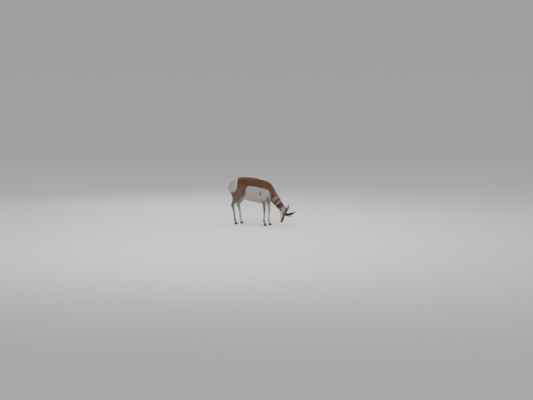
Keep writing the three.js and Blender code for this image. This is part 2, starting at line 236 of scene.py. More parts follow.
# Skin: one closed surface from nose to hooves under the hair. It is the parted solids fused again,
# smoothed, and drawn in by the depth of the hair, with muscles, eye openings, nostrils and lips worked in.
EYE_ALONG, EYE_UP, EYE_RADIUS = 112, 29, 0.019
NOSE = math.radians(-103)  # the way the face points, turned down from level and forward
POLL, POLL_WAY = (0.668, 0.343), (0.469, -0.883)  # where the neck ends, and its direction there
NECK_BASE, NECK_WAY = (0.395, 0.64), (0.927, 0.375)  # where it leaves the trunk, and its root's direction
NAPE_WAY = (0.714, 0.70)  # straight out from its upper side
SIDES = ((-1, "right"), (1, "left"))
FLESH = ["torso", "neck", "head"]
for end in ("fore", "hind"):
    for _, name in SIDES:
        FLESH += [f"{end}_{name}_upper", f"{end}_{name}_lower"]
eye_low, eye_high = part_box("eye_left")
eye_middle = (eye_low + eye_high) / 2


def on_head(along, up, side):
    """A place in the head's own frame, in millimetres along the face, up to the brow and sideways."""
    a, u = (along - EYE_ALONG) / 1000, (up - EYE_UP) / 1000
    x = eye_middle.x + a * math.cos(NOSE) - u * math.sin(NOSE)
    z = eye_middle.z + a * math.sin(NOSE) + u * math.cos(NOSE)
    return np.array((x, side / 1000, z))


def in_head(co):
    """Places turned into the head's own frame: along the face, up to the brow, and out from its middle."""
    dx, dz = (co[:, 0] - eye_middle.x) * 1000, (co[:, 2] - eye_middle.z) * 1000
    along = dx * math.cos(NOSE) + dz * math.sin(NOSE) + EYE_ALONG
    up = dz * math.cos(NOSE) - dx * math.sin(NOSE) + EYE_UP
    return along, up, np.abs(co[:, 1]) * 1000


def past_poll(x, z):
    """How far ahead of the poll a place is, down the line of the neck."""
    return (x - POLL[0]) * POLL_WAY[0] + (z - POLL[1]) * POLL_WAY[1]


def past_shoulder(x, z):
    """How far ahead of the root of the neck a place is."""
    return (x - NECK_BASE[0]) * NECK_WAY[0] + (z - NECK_BASE[1]) * NECK_WAY[1]


def toward_nape(x, z):
    """How far a place is to the upper side of the neck."""
    return x * NAPE_WAY[0] + z * NAPE_WAY[1]


def spline(values, place):
    """The smooth value between the listed ones, which it passes through."""
    last = len(values) - 1
    i = max(0, min(int(place * last), last - 1))
    t = place * last - i
    b, c = values[i], values[i + 1]
    a = values[i - 1] if i else 2 * b - c
    d = values[i + 2] if i + 2 <= last else 2 * c - b
    return b + 0.5 * t * (c - a + t * (2 * a - 5 * b + 4 * c - d + t * (3 * (b - c) + d - a)))


def tube(stations, steps, sides):
    """A closed form along a path of (place, half height, half width), with a fan at each end."""
    middles = np.array([station[0] for station in stations])
    points = []
    for i in range(steps + 1):
        place = i / steps
        here = Vector(spline(middles, place))
        ahead, behind = spline(middles, min(1, place + 1e-3)), spline(middles, max(0, place - 1e-3))
        along = Vector(ahead - behind).normalized()
        across = Vector((0, 1, 0))
        sideways = (across - along * along.dot(across)).normalized()
        up = along.cross(sideways)
        high = spline([station[1] for station in stations], place)
        wide = spline([station[2] for station in stations], place)
        for k in range(sides):
            turn = 2 * math.pi * k / sides
            points.append(here + up * (high * math.cos(turn)) + sideways * (wide * math.sin(turn)))
    faces = []
    for i in range(steps):
        for k in range(sides):
            a, b = i * sides + k, i * sides + (k + 1) % sides
            faces.append((a, b, b + sides, a + sides))
    for row in (0, steps):
        ring = [row * sides + k for k in range(sides)]
        points.append(sum((points[k] for k in ring), Vector()) / sides)
        faces += [(len(points) - 1, ring[k], ring[(k + 1) % sides]) for k in range(sides)]
    return points, faces


def outward(mesh):
    """Turns a closed mesh's faces to point out."""
    repair = bmesh.new()
    repair.from_mesh(mesh)
    bmesh.ops.recalc_face_normals(repair, faces=repair.faces)
    repair.to_mesh(mesh)
    repair.free()
    return mesh


def joined(parts, name):
    """Several lists of points and faces as one mesh, its faces pointing outwards."""
    points, faces = [], []
    for part_points, part_faces in parts:
        faces += [tuple(len(points) + k for k in face) for face in part_faces]
        points += list(part_points)
    return outward(surface(points, faces, name))


def gathered(names, *more):
    """The solids of several nodes, and any more meshes, in one new mesh with its loose triangles merged."""
    whole = bmesh.new()
    for mesh in [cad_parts[node].data for node in names] + list(more):
        whole.from_mesh(mesh)
    bmesh.ops.remove_doubles(whole, verts=whole.verts, dist=1e-6)
    mesh = bpy.data.meshes.new("gathered")
    whole.to_mesh(mesh)
    whole.free()
    return mesh


def whole_only(mesh):
    """The mesh's largest connected surface, without the scraps that fusing leaves."""
    edges = np.empty(len(mesh.edges) * 2, np.int32)
    mesh.edges.foreach_get("vertices", edges)
    a, b = edges.reshape(-1, 2).T
    label = np.arange(len(mesh.vertices))
    while True:
        low = np.minimum(label[a], label[b])
        found = label.copy()
        np.minimum.at(found, a, low)
        np.minimum.at(found, b, low)
        found = found[found]
        if np.array_equal(found, label):
            break
        label = found
    keep = np.bincount(label).argmax()
    scraps = set(np.nonzero(label != keep)[0].tolist())
    if scraps:
        whole = bmesh.new()
        whole.from_mesh(mesh)
        bmesh.ops.delete(whole, geom=[v for v in whole.verts if v.index in scraps], context="VERTS")
        whole.to_mesh(mesh)
        whole.free()
        mesh.update()
    return mesh


def settled(holder):
    """An object's mesh with its modifiers applied, and the object removed."""
    graph = bpy.context.evaluated_depsgraph_get()
    made = bpy.data.meshes.new_from_object(holder.evaluated_get(graph))
    bpy.data.objects.remove(holder)
    return made


def fused(mesh, voxel):
    """The mesh remade as one even closed surface."""
    holder = shown("fusing", mesh)
    remesh = holder.modifiers.new("fuse", "REMESH")
    remesh.mode = "VOXEL"
    remesh.voxel_size = voxel
    return whole_only(settled(holder))


def places(mesh):
    """Where a mesh's points are, as an array."""
    co = np.empty(len(mesh.vertices) * 3)
    mesh.vertices.foreach_get("co", co)
    return co.reshape(-1, 3)


def normals(mesh):
    """The outward way at each of a mesh's points."""
    n = np.empty(len(mesh.vertices) * 3, np.float32)
    mesh.vertex_normals.foreach_get("vector", n)
    return n.reshape(-1, 3).astype(float)


def move(mesh, co):
    """Puts a mesh's points at new places."""
    mesh.vertices.foreach_set("co", np.ascontiguousarray(co, np.float32).ravel())
    mesh.update()


def relax(mesh, rounds, amount=None, factors=(0.55, -0.57)):
    """Smooths a mesh, each point by its share; a factor under 0 pushes back and keeps the volume."""
    co = places(mesh)
    edges = np.empty(len(mesh.edges) * 2, np.int32)
    mesh.edges.foreach_get("vertices", edges)
    edges = edges.reshape(-1, 2)
    ends = np.concatenate([edges[:, 0], edges[:, 1]])
    others = np.concatenate([edges[:, 1], edges[:, 0]])
    count = np.bincount(ends, minlength=len(co))[:, None]
    share = 1.0 if amount is None else amount[:, None]
    for _ in range(rounds):
        for factor in factors:
            middle = np.stack([np.bincount(ends, co[others, k], len(co)) for k in range(3)], 1) / count
            co = co + share * factor * (middle - co)
    move(mesh, co)


def unit(v):
    """Vectors made one metre long."""
    return v / np.maximum(np.linalg.norm(v, axis=1, keepdims=True), 1e-9)


def ramp(value, start, end):
    """0 up to start, 1 from end on, and smooth between."""
    t = np.clip((value - start) / (end - start), 0, 1)
    return t * t * (3 - 2 * t)


def zones(co):
    """How far each place belongs to the head, neck, legs, feet and rump, from 0 to 1."""
    x, y, z = co[:, 0] - TRUNK_MIDDLE.x, co[:, 1], co[:, 2]
    head = ramp(past_poll(x, z), -0.03, 0.03) * ramp(x, 0.45, 0.5)
    neck = ramp(past_shoulder(x, z), -0.05, 0.06) * (1 - head)
    legs = (1 - ramp(z, 0.40, 0.56)) * (1 - ramp(x, 0.44, 0.5)) * (1 - head) * ramp(np.abs(y), 0.02, 0.05)
    feet = (1 - ramp(z, 0.25, 0.36)) * (1 - ramp(x, 0.44, 0.5))
    rump = (1 - ramp(x, -0.30, -0.22)) * ramp(z, 0.56, 0.66)
    return {"head": head, "neck": neck, "legs": legs, "feet": feet, "rump": rump}


def refined(mesh, chosen):
    """The mesh with the faces round the chosen points split finer."""
    fine = bmesh.new()
    fine.from_mesh(mesh)
    edges = [e for e in fine.edges if chosen[e.verts[0].index] and chosen[e.verts[1].index]]
    bmesh.ops.subdivide_edges(fine, edges=edges, cuts=1, use_grid_fill=True)
    bmesh.ops.triangulate(fine, faces=[f for f in fine.faces if len(f.verts) > 4])
    made = bpy.data.meshes.new("refined")
    fine.to_mesh(made)
    fine.free()
    return made


EAR_ROOT, EAR_TIP, EAR_WIDTH, EAR_BOW = (72, 33, 29), (-70, 36, 101), 0.026, 0.013
EAR_LEAF = [0.5, 0.8, 1, 0.96, 0.7, 0.07]  # its half width from root to tip, as shares of the widest
EAR_ROLL = [155, 132, 104, 84, 70, 62]  # how far its edges roll round, in degrees


def ear_frame(side):
    """Where one ear starts, its length, the way its cup opens, and the way across it."""
    root, tip = (Vector(on_head(a, u, side * s)) for a, u, s in (EAR_ROOT, EAR_TIP))
    length = tip - root
    along = length.normalized()
    opening = Vector(on_head(60, 10, side * 100) - on_head(0, 0, 0))
    opening = (opening - along * opening.dot(along)).normalized()
    return root, length, opening, along.cross(opening)


def ear_ring(side, t):
    """The middle, radius and roll of the ear's cup at a place along it."""
    root, length, opening, _ = ear_frame(side)
    roll = math.radians(spline(EAR_ROLL, t))
    radius = spline(EAR_LEAF, t) * EAR_WIDTH / math.sin(min(roll, math.pi / 2))
    bow = EAR_BOW * math.sin(math.pi * max(0, t))
    return root + length * t + opening * (radius - bow), radius, roll


def ear_base(side):
    """The gristle that fills the bottom of the cup and joins the ear to the skull."""
    stations = []
    for t, share in ((-0.10, 0.9), (0.0, 1.0), (0.06, 1.0), (0.11, 0.85), (0.14, 0.3)):
        middle, radius, _ = ear_ring(side, t)
        stations.append((np.array(middle), radius * share, radius * share))
    return joined([tube(stations, 20, 24)], "ear_base")


# The relief over bones and muscles: its place on the side, as metres ahead of the trunk's middle and
# above the floor, then its half length, half width, turn in degrees and height.
RELIEF = [
    (0.262, 0.590, 0.036, 0.020, 70, -0.012),  # the hollow at the elbow
    (0.205, 0.700, 0.100, 0.024, 100, -0.005),  # behind the shoulder blade
    (0.292, 0.700, 0.080, 0.042, 62, 0.006),  # the shoulder's muscle
    (0.375, 0.655, 0.080, 0.018, 118, -0.006),  # before the shoulder
    (-0.125, 0.790, 0.055, 0.035, 20, -0.008),  # the hollow of the flank
    (-0.215, 0.855, 0.032, 0.026, 0, 0.007),  # the point of the hip
    (-0.140, 0.640, 0.080, 0.020, 80, -0.008),  # the fold before the thigh
    (-0.190, 0.590, 0.040, 0.035, 0, 0.006),  # the stifle
    (-0.335, 0.640, 0.110, 0.016, 78, -0.005),  # between the thigh's muscles
    (-0.335, 0.440, 0.045, 0.010, 65, -0.007),  # before the hock's tendon
    (0.300, 0.430, 0.050, 0.010, 80, -0.004),  # down the forearm
]
# The neck under its mane, in the same metres: each station's middle, half height and half width.
NECK_LINE = [
    ((0.280, 0.650), 0.192, 0.170),
    ((0.340, 0.630), 0.170, 0.160),
    ((0.400, 0.598), 0.128, 0.110),
    ((0.460, 0.550), 0.102, 0.075),
    ((0.517, 0.496), 0.085, 0.063),
    ((0.570, 0.438), 0.077, 0.057),
    ((0.618, 0.382), 0.073, 0.052),
    ((0.660, 0.332), 0.067, 0.048),
    ((0.692, 0.296), 0.057, 0.043),
]


def pressed(co):
    """The places with all that stands off the nape's own line brought to it."""
    steps = np.linspace(0, 1, 160)
    middles = np.array([spline([np.array(m) for m, _, _ in NECK_LINE], t) for t in steps])
    highs = np.array([spline([h for _, h, _ in NECK_LINE], t) for t in steps])
    wides = np.array([spline([w for _, _, w in NECK_LINE], t) for t in steps])
    ahead = unit(np.gradient(middles, axis=0))
    here = co[:, [0, 2]] - (TRUNK_MIDDLE.x, 0)
    share = ramp(here[:, 0], 0.350, 0.420) * (here[:, 1] > 0.30)
    share *= 1 - ramp(past_poll(here[:, 0], here[:, 1]), -0.020, 0.0)
    chosen = np.nonzero(share > 0)[0]
    near = np.argmin(np.linalg.norm(here[chosen, None] - middles[None], axis=2), axis=1)
    rise = np.column_stack([-ahead[near, 1], ahead[near, 0]])
    height = ((here[chosen] - middles[near]) * rise).sum(1)
    over = np.hypot(height / highs[near], co[chosen, 1] / wides[near])
    filled = ramp(height / highs[near], 0.50, 0.85) * ramp(here[chosen, 0], 0.40, 0.44)
    filled *= 1 - ramp(here[chosen, 0], 0.50, 0.56)
    down = np.where(over > 1, 1, filled) * (1 - 1 / np.maximum(over, 0.5))
    down *= (height > 0) * share[chosen]
    lowered = co.copy()
    lowered[chosen, 0] -= down * height * rise[:, 0]
    lowered[chosen, 2] -= down * height * rise[:, 1]
    lowered[chosen, 1] *= 1 - down
    return lowered


SKIN_VOXEL = 0.0028
HAIR_DEPTH = {"body": 0.009, "neck": 0.010, "head": 0.0022, "legs": 0.004, "feet": 0.002, "rump": 0.012}
ear_bases = [ear_base(side) for side, _ in SIDES]
skin_mesh = fused(gathered(FLESH + ["eye_left", "eye_right"], *ear_bases), SKIN_VOXEL)
move(skin_mesh, pressed(places(skin_mesh)))
skin_mesh = fused(skin_mesh, SKIN_VOXEL)
co = places(skin_mesh)
zone = zones(co)
relax(skin_mesh, 22, 1 - 0.86 * zone["head"])
x, z = co[:, 0] - TRUNK_MIDDLE.x, co[:, 2]
under_mane = ramp(toward_nape(x, z), 0.740, 0.775) * ramp(x, 0.36, 0.42)
under_mane *= 1 - ramp(zone["head"], 0.2, 0.9)
relax(skin_mesh, 40, under_mane, (0.5,))
at_withers = np.exp(-((x - 0.405) / 0.060) ** 2 - ((z - 0.715) / 0.065) ** 2)
relax(skin_mesh, 110, np.clip(1.4 * at_withers, 0, 1), (0.5,))
# The body's triangles are made fewer, and the head's are kept.
KEPT_SHARE = 0.29
holder = shown("thinning", skin_mesh)
body_group = holder.vertex_groups.new(name="body")
weights = 1 - zone["head"]
for level in np.linspace(0, 1, 11):
    chosen = np.nonzero(np.round(weights, 1) == round(level, 1))[0]
    body_group.add(chosen.tolist(), float(level), "REPLACE")
thin = holder.modifiers.new("thin", "DECIMATE")
thin.ratio = KEPT_SHARE
thin.vertex_group = "body"
thin.vertex_group_factor = 4.0
skin_mesh = settled(holder)
# The skin lies under the hair, and muscles and hollows show in it.
co = places(skin_mesh)
zone = zones(co)
depth = np.full(len(co), HAIR_DEPTH["body"])
for name in ("neck", "rump", "legs", "feet", "head"):
    depth += (HAIR_DEPTH[name] - depth) * zone[name]
x, z = co[:, 0] - TRUNK_MIDDLE.x, co[:, 2]
for mid_x, mid_z, long, wide, degrees, height in RELIEF:
    c, s = math.cos(math.radians(degrees)), math.sin(math.radians(degrees))
    p = (x - mid_x) * c + (z - mid_z) * s
    q = (z - mid_z) * c - (x - mid_x) * s
    depth -= height * np.exp(-(p / long) ** 2 - (q / wide) ** 2) * (1 - zone["head"])
move(skin_mesh, co - normals(skin_mesh) * depth[:, None])
relax(skin_mesh, 4, 1 - 0.9 * zone["head"])

# The face: bare or short-haired skin over the skull, with an opening for each eye, a closed mouth with
# soft lips, and slit nostrils in a split nose pad. The skin's triangles are split finer there, then the
# openings are pressed in and their edges raised.
LIDS = (17.5, 11.0, 9.5)  # half length of the slit, and its half height above and below


def slit(along, up):
    """How far a place on the head is inside the slit between the lids: 1 in its middle, 0 at its edge."""
    a = along - EYE_ALONG
    u = up - EYE_UP - 1 + 0.14 * a
    return 1 - np.abs(a / LIDS[0]) ** 1.7 - (u / np.where(u > 0, LIDS[1], LIDS[2])) ** 2


def mouth(along):
    """How high the line of the mouth lies at a place along the muzzle."""
    t = (292 - along) * (1 / 84)
    return -14 - 16 * t * (1 - t) + 2 * t


def eye_centre(side):
    """The middle of one eyeball."""
    return on_head(EYE_ALONG, EYE_UP, side * 1000 * eye_middle.y)


def from_eye(co):
    """The way from the nearer eye's middle to each place, and its distance."""
    middle = np.where((co[:, 1] < 0)[:, None], eye_centre(-1), eye_centre(1))
    away = co - middle
    return away, np.linalg.norm(away, axis=1)


co = places(skin_mesh)
along, up, out = in_head(co)
head_only = zones(co)["head"] > 0.5
skin_mesh = refined(skin_mesh, head_only & ((from_eye(co)[1] < 0.034) | (along > 224)))
co = places(skin_mesh)
along, up, out = in_head(co)
head_only = (zones(co)["head"] > 0.5).astype(float)
_, distance = from_eye(co)
relax(skin_mesh, 3, head_only * ((distance < 0.036) | (along > 222)))
# The eye opening is sunk inside the lids, and the lids lie on the ball with a fold above them.
co = places(skin_mesh)
away, distance = from_eye(co)
inside = slit(along, up)
opened = ramp(inside, -0.06, 0.12)
reach = (1 - opened) * np.maximum(distance, 0.0203) + opened * 0.0150
fold = np.exp(-((inside + 0.95) / 0.25) ** 2) * (up > EYE_UP)
reach -= 0.0014 * fold - 0.0010 * np.exp(-((inside + 0.35) / 0.25) ** 2)
near_eye = (distance < 0.031) & (out > 38) & (head_only > 0)
step = away / np.maximum(distance, 1e-6)[:, None] * (reach - distance)[:, None]
co = np.where(near_eye[:, None], co + step, co)
# The mouth's groove and lips, then each nostril with its raised rim, and the cleft of the nose pad.
line = mouth(along)
groove = np.exp(-((up - line) / 1.5) ** 2) * ramp(along, 206, 216)
lips = np.exp(-((up - line - 4.5) / 2.6) ** 2) + np.exp(-((up - line + 4.5) / 2.6) ** 2)
lips *= ramp(along, 222, 250)
p = (along - 276) * 0.82 - (up - 11) * 0.57
q = (along - 276) * 0.57 + (up - 11) * 0.82
nostril = np.exp(-(p / 8.0) ** 4 - (q / 2.7) ** 2) * ramp(out, 5, 9)
wing = np.exp(-(p / 9.0) ** 4 - ((np.abs(q) - 5) / 2.0) ** 2) * ramp(out, 6, 10)
cleft = np.exp(-(out / 1.2) ** 2) * ramp(along, 268, 276)
height = -0.0028 * groove + 0.0010 * lips - 0.0062 * nostril + 0.0012 * wing - 0.0012 * cleft
height *= head_only * (along > 200)
move(skin_mesh, co)
move(skin_mesh, co + normals(skin_mesh) * height[:, None])


# Lie of the hair: hair leans back from the nose along the head and trunk, up the neck and down the legs,
# and each tuft takes this way from the skin's point under it. The unwrap gives every tuft its own place.
def lie_of(co):
    """Back along the head and the trunk, down the neck's own line, and down the legs."""
    zone = zones(co)
    side = np.sign(co[:, 1])
    low = 1 - ramp(co[:, 2], 0.50, 0.86)
    body = np.stack([np.full(len(co), -1.0), np.zeros(len(co)), -0.15 - 0.55 * low], 1)
    neck = np.stack([np.full(len(co), -0.70), 0.05 * side, np.full(len(co), 0.45)], 1)
    head = np.tile(on_head(-100, 0, 0) - on_head(0, 0, 0), (len(co), 1)) * 10
    legs = np.tile((-0.15, 0.0, -1.0), (len(co), 1))
    rump = np.stack([np.full(len(co), -0.55), 0.35 * side, np.full(len(co), -0.75)], 1)
    lie = body
    for name, way in (("neck", neck), ("rump", rump), ("legs", legs), ("head", head)):
        lie = lie + (way - lie) * zone[name][:, None]
    return unit(lie)


def store(mesh, name, kind, values):
    """Keeps a value or a vector for each of a mesh's points."""
    layer = mesh.attributes.new(name, kind, "POINT")
    field = "value" if kind == "FLOAT" else "vector"
    layer.data.foreach_set(field, np.ascontiguousarray(values, np.float32).ravel())


def unwrapped(co):
    """An unwrap of the body's own shape: each part cut along one line and rolled out on a strip."""
    zone = zones(co)
    x, y, z = co[:, 0], co[:, 1], co[:, 2]
    trunk = np.stack([(x + 0.75) / 1.5, np.arctan2(y, z - 0.66) / (2 * math.pi) * 0.4 + 0.25], 1)
    neck = np.stack([(x - z + 0.4) / 1.5, np.arctan2(y, (x + z - 0.82)) / (2 * math.pi) * 0.2 + 0.60], 1)
    head = np.stack([(0.45 - z) / 0.9, np.arctan2(y, x - 0.45) / (2 * math.pi) * 0.15 + 0.80], 1)
    fore = np.where(x > -0.2, 0.25, 0.0) + np.where(y > 0, 0.5, 0.0)
    middle = np.where(x > -0.2, 0.115, -0.5)
    turn = np.arctan2(x - middle, np.abs(y) - 0.09) / (2 * math.pi)
    legs = np.stack([fore + z / 0.55 * 0.24, turn * 0.1 + 0.94], 1)
    flat = trunk
    for name, way in (("neck", neck), ("head", head), ("legs", legs)):
        flat = np.where((zone[name] > 0.5)[:, None], way, flat)
    return np.clip(flat, 0.002, 0.998)


# Markings: rufous above with a painted highlight along the top of the back, rosy thighs, grey-tan legs, pale
# flank, belly and rump, the flank's and belly's white painted darker as in shade, two pale bands on a throat
# darkened by painted shade, a painted shadow in the elbow's hollow, a black mask from nose to brow and a
# black patch at the angle of the jaw.
RUFOUS = (0.245, 0.112, 0.060)
RUFOUS_DARK = (0.150, 0.064, 0.036)
TAN = (0.36, 0.225, 0.145)
ROSE = (0.30, 0.178, 0.132)
GREY_TAN = (0.285, 0.222, 0.182)
CHEST = (0.34, 0.225, 0.175)
CROWN = (0.215, 0.112, 0.068)
# Painted shade: a dark brown for the shaded throat and the shadow in the elbow's hollow.
PAINTED_SHADE_BROWN = (0.125, 0.070, 0.054)
THROAT_PALE = (0.43, 0.33, 0.275)
# Painted shade: the white of the flank, belly, inner legs and between the thighs, darker than the rump's
# white as if in shade.
SHADED_WHITE = (0.64, 0.605, 0.58)
WHITE = (0.80, 0.77, 0.735)
DARK_BROWN = (0.045, 0.028, 0.021)
BLACK = (0.013, 0.011, 0.010)


def markings(place):
    """The colour of the coat at a place, with its painted shade and highlight, the same for the skin and for
    the hair on it.
    """
    wavy = place.shift(place.noise(7.0, 2.0, output=1), 0.035)
    wavy = wavy.shift(place.noise(45.0, 2.0, output=1), 0.014)
    x, y, z = wavy.parts()
    x = x - TRUNK_MIDDLE.x
    nearly = place.shift(place.noise(30.0, 2.0, output=1), 0.007)
    near_x, near_y, near_z = nearly.parts()
    side = abs(near_y)
    # The back, with a darker band along the upper side and a painted highlight that lightens its top towards
    # tan, then the thigh, the legs and the chest.
    streaks = place.noise(6.0, 3.0, (0.7, 1.0, 2.4))
    colour = (streaks.rise(0.35, 0.72) * 0.8).blend(RUFOUS, RUFOUS_DARK)
    colour = (z.rise(0.70, 0.77) * z.fall(0.81, 0.87) * 0.35).blend(colour, RUFOUS_DARK)
    # Painted highlight: the top of the back is lightened towards tan.
    colour = (z.rise(0.84, 0.91) * 0.30).blend(colour, TAN)
    colour = (x.fall(-0.14, 0.02) * z.fall(0.66, 0.82) * 0.75).blend(colour, ROSE)
    colour = (x.rise(0.34, 0.42) * z.fall(0.60, 0.72) * 0.75).blend(colour, CHEST)
    colour = (z.fall(0.48, 0.64) * 0.85).blend(colour, GREY_TAN)
    # The neck: a dark mane, darker rufous before the shoulder, and two pale bands on a throat darkened by
    # painted shade.
    ahead = past_shoulder(x, z)
    along = x * NAPE_WAY[1] - z * NAPE_WAY[0]
    nape = toward_nape(x, z)
    front = ahead.rise(0.0, 0.06)
    throat = nape.fall(0.760, 0.800)
    mane = nape.rise(0.770, 0.800) * side.fall(0.012, 0.036) * ahead.rise(-0.08, 0.04)
    colour = (front * 0.5).blend(colour, RUFOUS_DARK)
    first = along.rise(-0.032, -0.012) * along.fall(0.034, 0.050)
    second = along.rise(0.078, 0.092) * along.fall(0.114, 0.130)
    below = along.rise(-0.085, -0.055) * along.fall(0.165, 0.20)
    # Painted shade: the lower side of the neck is darkened towards a shade brown.
    colour = (below * throat * front * 0.9).blend(colour, PAINTED_SHADE_BROWN)
    colour = ((first + second) * nape.fall(0.785, 0.815) * front * 0.92).blend(colour, THROAT_PALE)
    colour = (mane * 0.45).blend(colour, DARK_BROWN)
    # The flank is a rounded panel that slopes down to the front and runs into the white of the belly; both
    # are a white painted darker as in shade.
    across = (x - 0.20).squared(0.235)
    level = (z + (x - 0.20) * 0.135 - 0.545).squared(0.175)
    foreleg = x.rise(0.24, 0.31) * z.fall(0.42, 0.53)
    panel = (across * across + level * level).fall(0.76, 1.26) * (1 - foreleg * 0.85)
    colour = panel.blend(colour, SHADED_WHITE)
    stifle = (x - (z - 0.42) * 0.95).rise(-0.235, -0.165)
    belly = stifle * x.fall(0.24, 0.31) * z.fall(0.53, 0.62) * z.rise(0.36, 0.42)
    colour = belly.blend(colour, SHADED_WHITE)
    # A painted shadow darkens the hollow at the elbow, on the right side only.
    elbow_shade = (x - 0.262).squared(0.024) + (z - 0.592).squared(0.034)
    colour = (elbow_shade.fall(0.1, 1.8) * y.fall(-0.05, 0.0) * 0.75).blend(colour, PAINTED_SHADE_BROWN)
    # The inner sides of the legs, in the white painted darker as in shade.
    inner = side.fall(0.080, 0.096) * z.fall(0.54, 0.62) * x.fall(0.42, 0.46)
    colour = (inner * 0.85).blend(colour, SHADED_WHITE)
    # The rump patch, which runs on down between the thighs, there in the white painted darker as in shade.
    cleft = x.fall(-0.30, -0.22) * side.fall(0.035, 0.070) * z.rise(0.42, 0.52)
    colour = cleft.blend(colour, SHADED_WHITE)
    back = (x + 0.44).squared(0.210)
    high = (z - 0.760).squared(0.160)
    rump = (back * back * 0.7 + back * 0.3 + high * high).fall(0.80, 1.2)
    colour = rump.blend(colour, WHITE)
    # The head: crown, black mask and jaw patch, the mouth's line, the nose pad and the eye's rim.
    head_x = near_x - eye_middle.x
    head_z = near_z - eye_middle.z
    long = head_x * math.cos(NOSE) + head_z * math.sin(NOSE) + EYE_ALONG / 1000
    up = head_z * math.cos(NOSE) - head_x * math.sin(NOSE) + EYE_UP / 1000
    on = past_poll(near_x - TRUNK_MIDDLE.x, near_z).rise(-0.014, 0.014)
    on = on * near_x.rise(0.50 + TRUNK_MIDDLE.x, 0.52 + TRUNK_MIDDLE.x)
    colour = on.blend(colour, WHITE)
    colour = (on * up.rise(-0.022, 0.022) * long.fall(0.15, 0.24) * 0.7).blend(colour, TAN)
    crown = on * up.rise(0.018, 0.040) * long.fall(0.100, 0.135) * side.fall(0.032, 0.046)
    colour = crown.blend(colour, CROWN)
    limit = long.rise(0.13, 0.25) * 0.018 + 0.021
    mask = on * up.rise(-0.012, 0.014) * long.rise(0.090, 0.135) * (side - limit).fall(-0.005, 0.006)
    colour = mask.blend(colour, BLACK)
    slope = up + (long - 0.058) * 0.35
    patch = (long - 0.056).squared(0.042) + (slope + 0.047).squared(0.020)
    colour = (on * patch.fall(0.2, 1.7) * side.rise(0.004, 0.028)).blend(colour, BLACK)
    line = mouth(long * 1000) * 0.001
    shut = on * long.rise(0.204, 0.214) * abs(up - line).fall(0.0012, 0.0035)
    colour = shut.blend(colour, DARK_BROWN)
    pad = (long + up * 0.42).rise(0.258, 0.270) * (up - line).rise(0.002, 0.005)
    colour = (on * pad).blend(colour, BLACK)
    lid = (long - EYE_ALONG / 1000).squared(0.0225) + (up - 0.030).squared(0.0165)
    colour = (on * lid.fall(0.85, 1.3) * side.rise(0.030, 0.040)).blend(colour, DARK_BROWN)
    return colour


def attribute(place, name):
    """A value that is kept on the mesh."""
    return place.node("ShaderNodeAttribute", {"attribute_name": name}, {}, 2)


skin_finish, shader, place = finish("skin_hair", 0.85, Specular_IOR_Level=0.25)
fine = place.noise(900.0, 2.0)
broad = place.noise(120.0, 3.0)
feed(shader, "Base Color", (0.72 + 0.35 * fine).times(markings(place)))
bumps(shader, fine * 0.5 + broad * 0.5, 0.5, 0.0015)
skin = shown("skin", skin_mesh, skin_finish)
skin.data.shade_smooth()
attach(skin, "root")
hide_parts(*FLESH)

# Coat: flat tapering tufts of hair that overlap along the lie of the coat, longest on the rump, neck and
# belly and smallest on the face and the legs. Each tuft is a thin closed blade rooted in the skin.
coat_finish, shader, place = finish("coat_hair", 0.78, Specular_IOR_Level=0.22)
strand = attribute(place, "strand")
reach = attribute(place, "reach")
# Painted shade: each tuft is darker at its root, where it lies under others, and lighter towards its tip.
feed(shader, "Base Color", ((0.74 + 0.34 * strand) * (0.80 + 0.26 * reach)).times(markings(place)))
feed(shader, "Roughness", 0.68 + 0.2 * strand)
# One tuft of unit length, width and thickness, from its sunk root to its point.
TUFT = [
    (-0.14, -0.40, -0.6), (-0.14, 0.40, -0.6), (-0.14, 0.0, 0.6),
    (0.52, -0.46, 0.4), (0.52, 0.46, 0.4), (0.52, 0.0, 1.1),
    (1.0, 0.0, 0.0),
]
TUFT_FACES = [(0, 1, 2), (0, 3, 4, 1), (1, 4, 5, 2), (2, 5, 3, 0), (3, 6, 4), (4, 6, 5), (5, 6, 3)]
PATCH = 0.003  # width of one tuft's place on the unwrap
tuft_mesh = surface(TUFT, TUFT_FACES, "tuft")
outward(tuft_mesh)
store(tuft_mesh, "reach", "FLOAT", [max(0.0, p[0]) for p in TUFT])
store(tuft_mesh, "local", "FLOAT_VECTOR", [((p[0] - 0.5) * PATCH, p[1] * PATCH, 0) for p in TUFT])
tuft = shown("tuft", tuft_mesh)


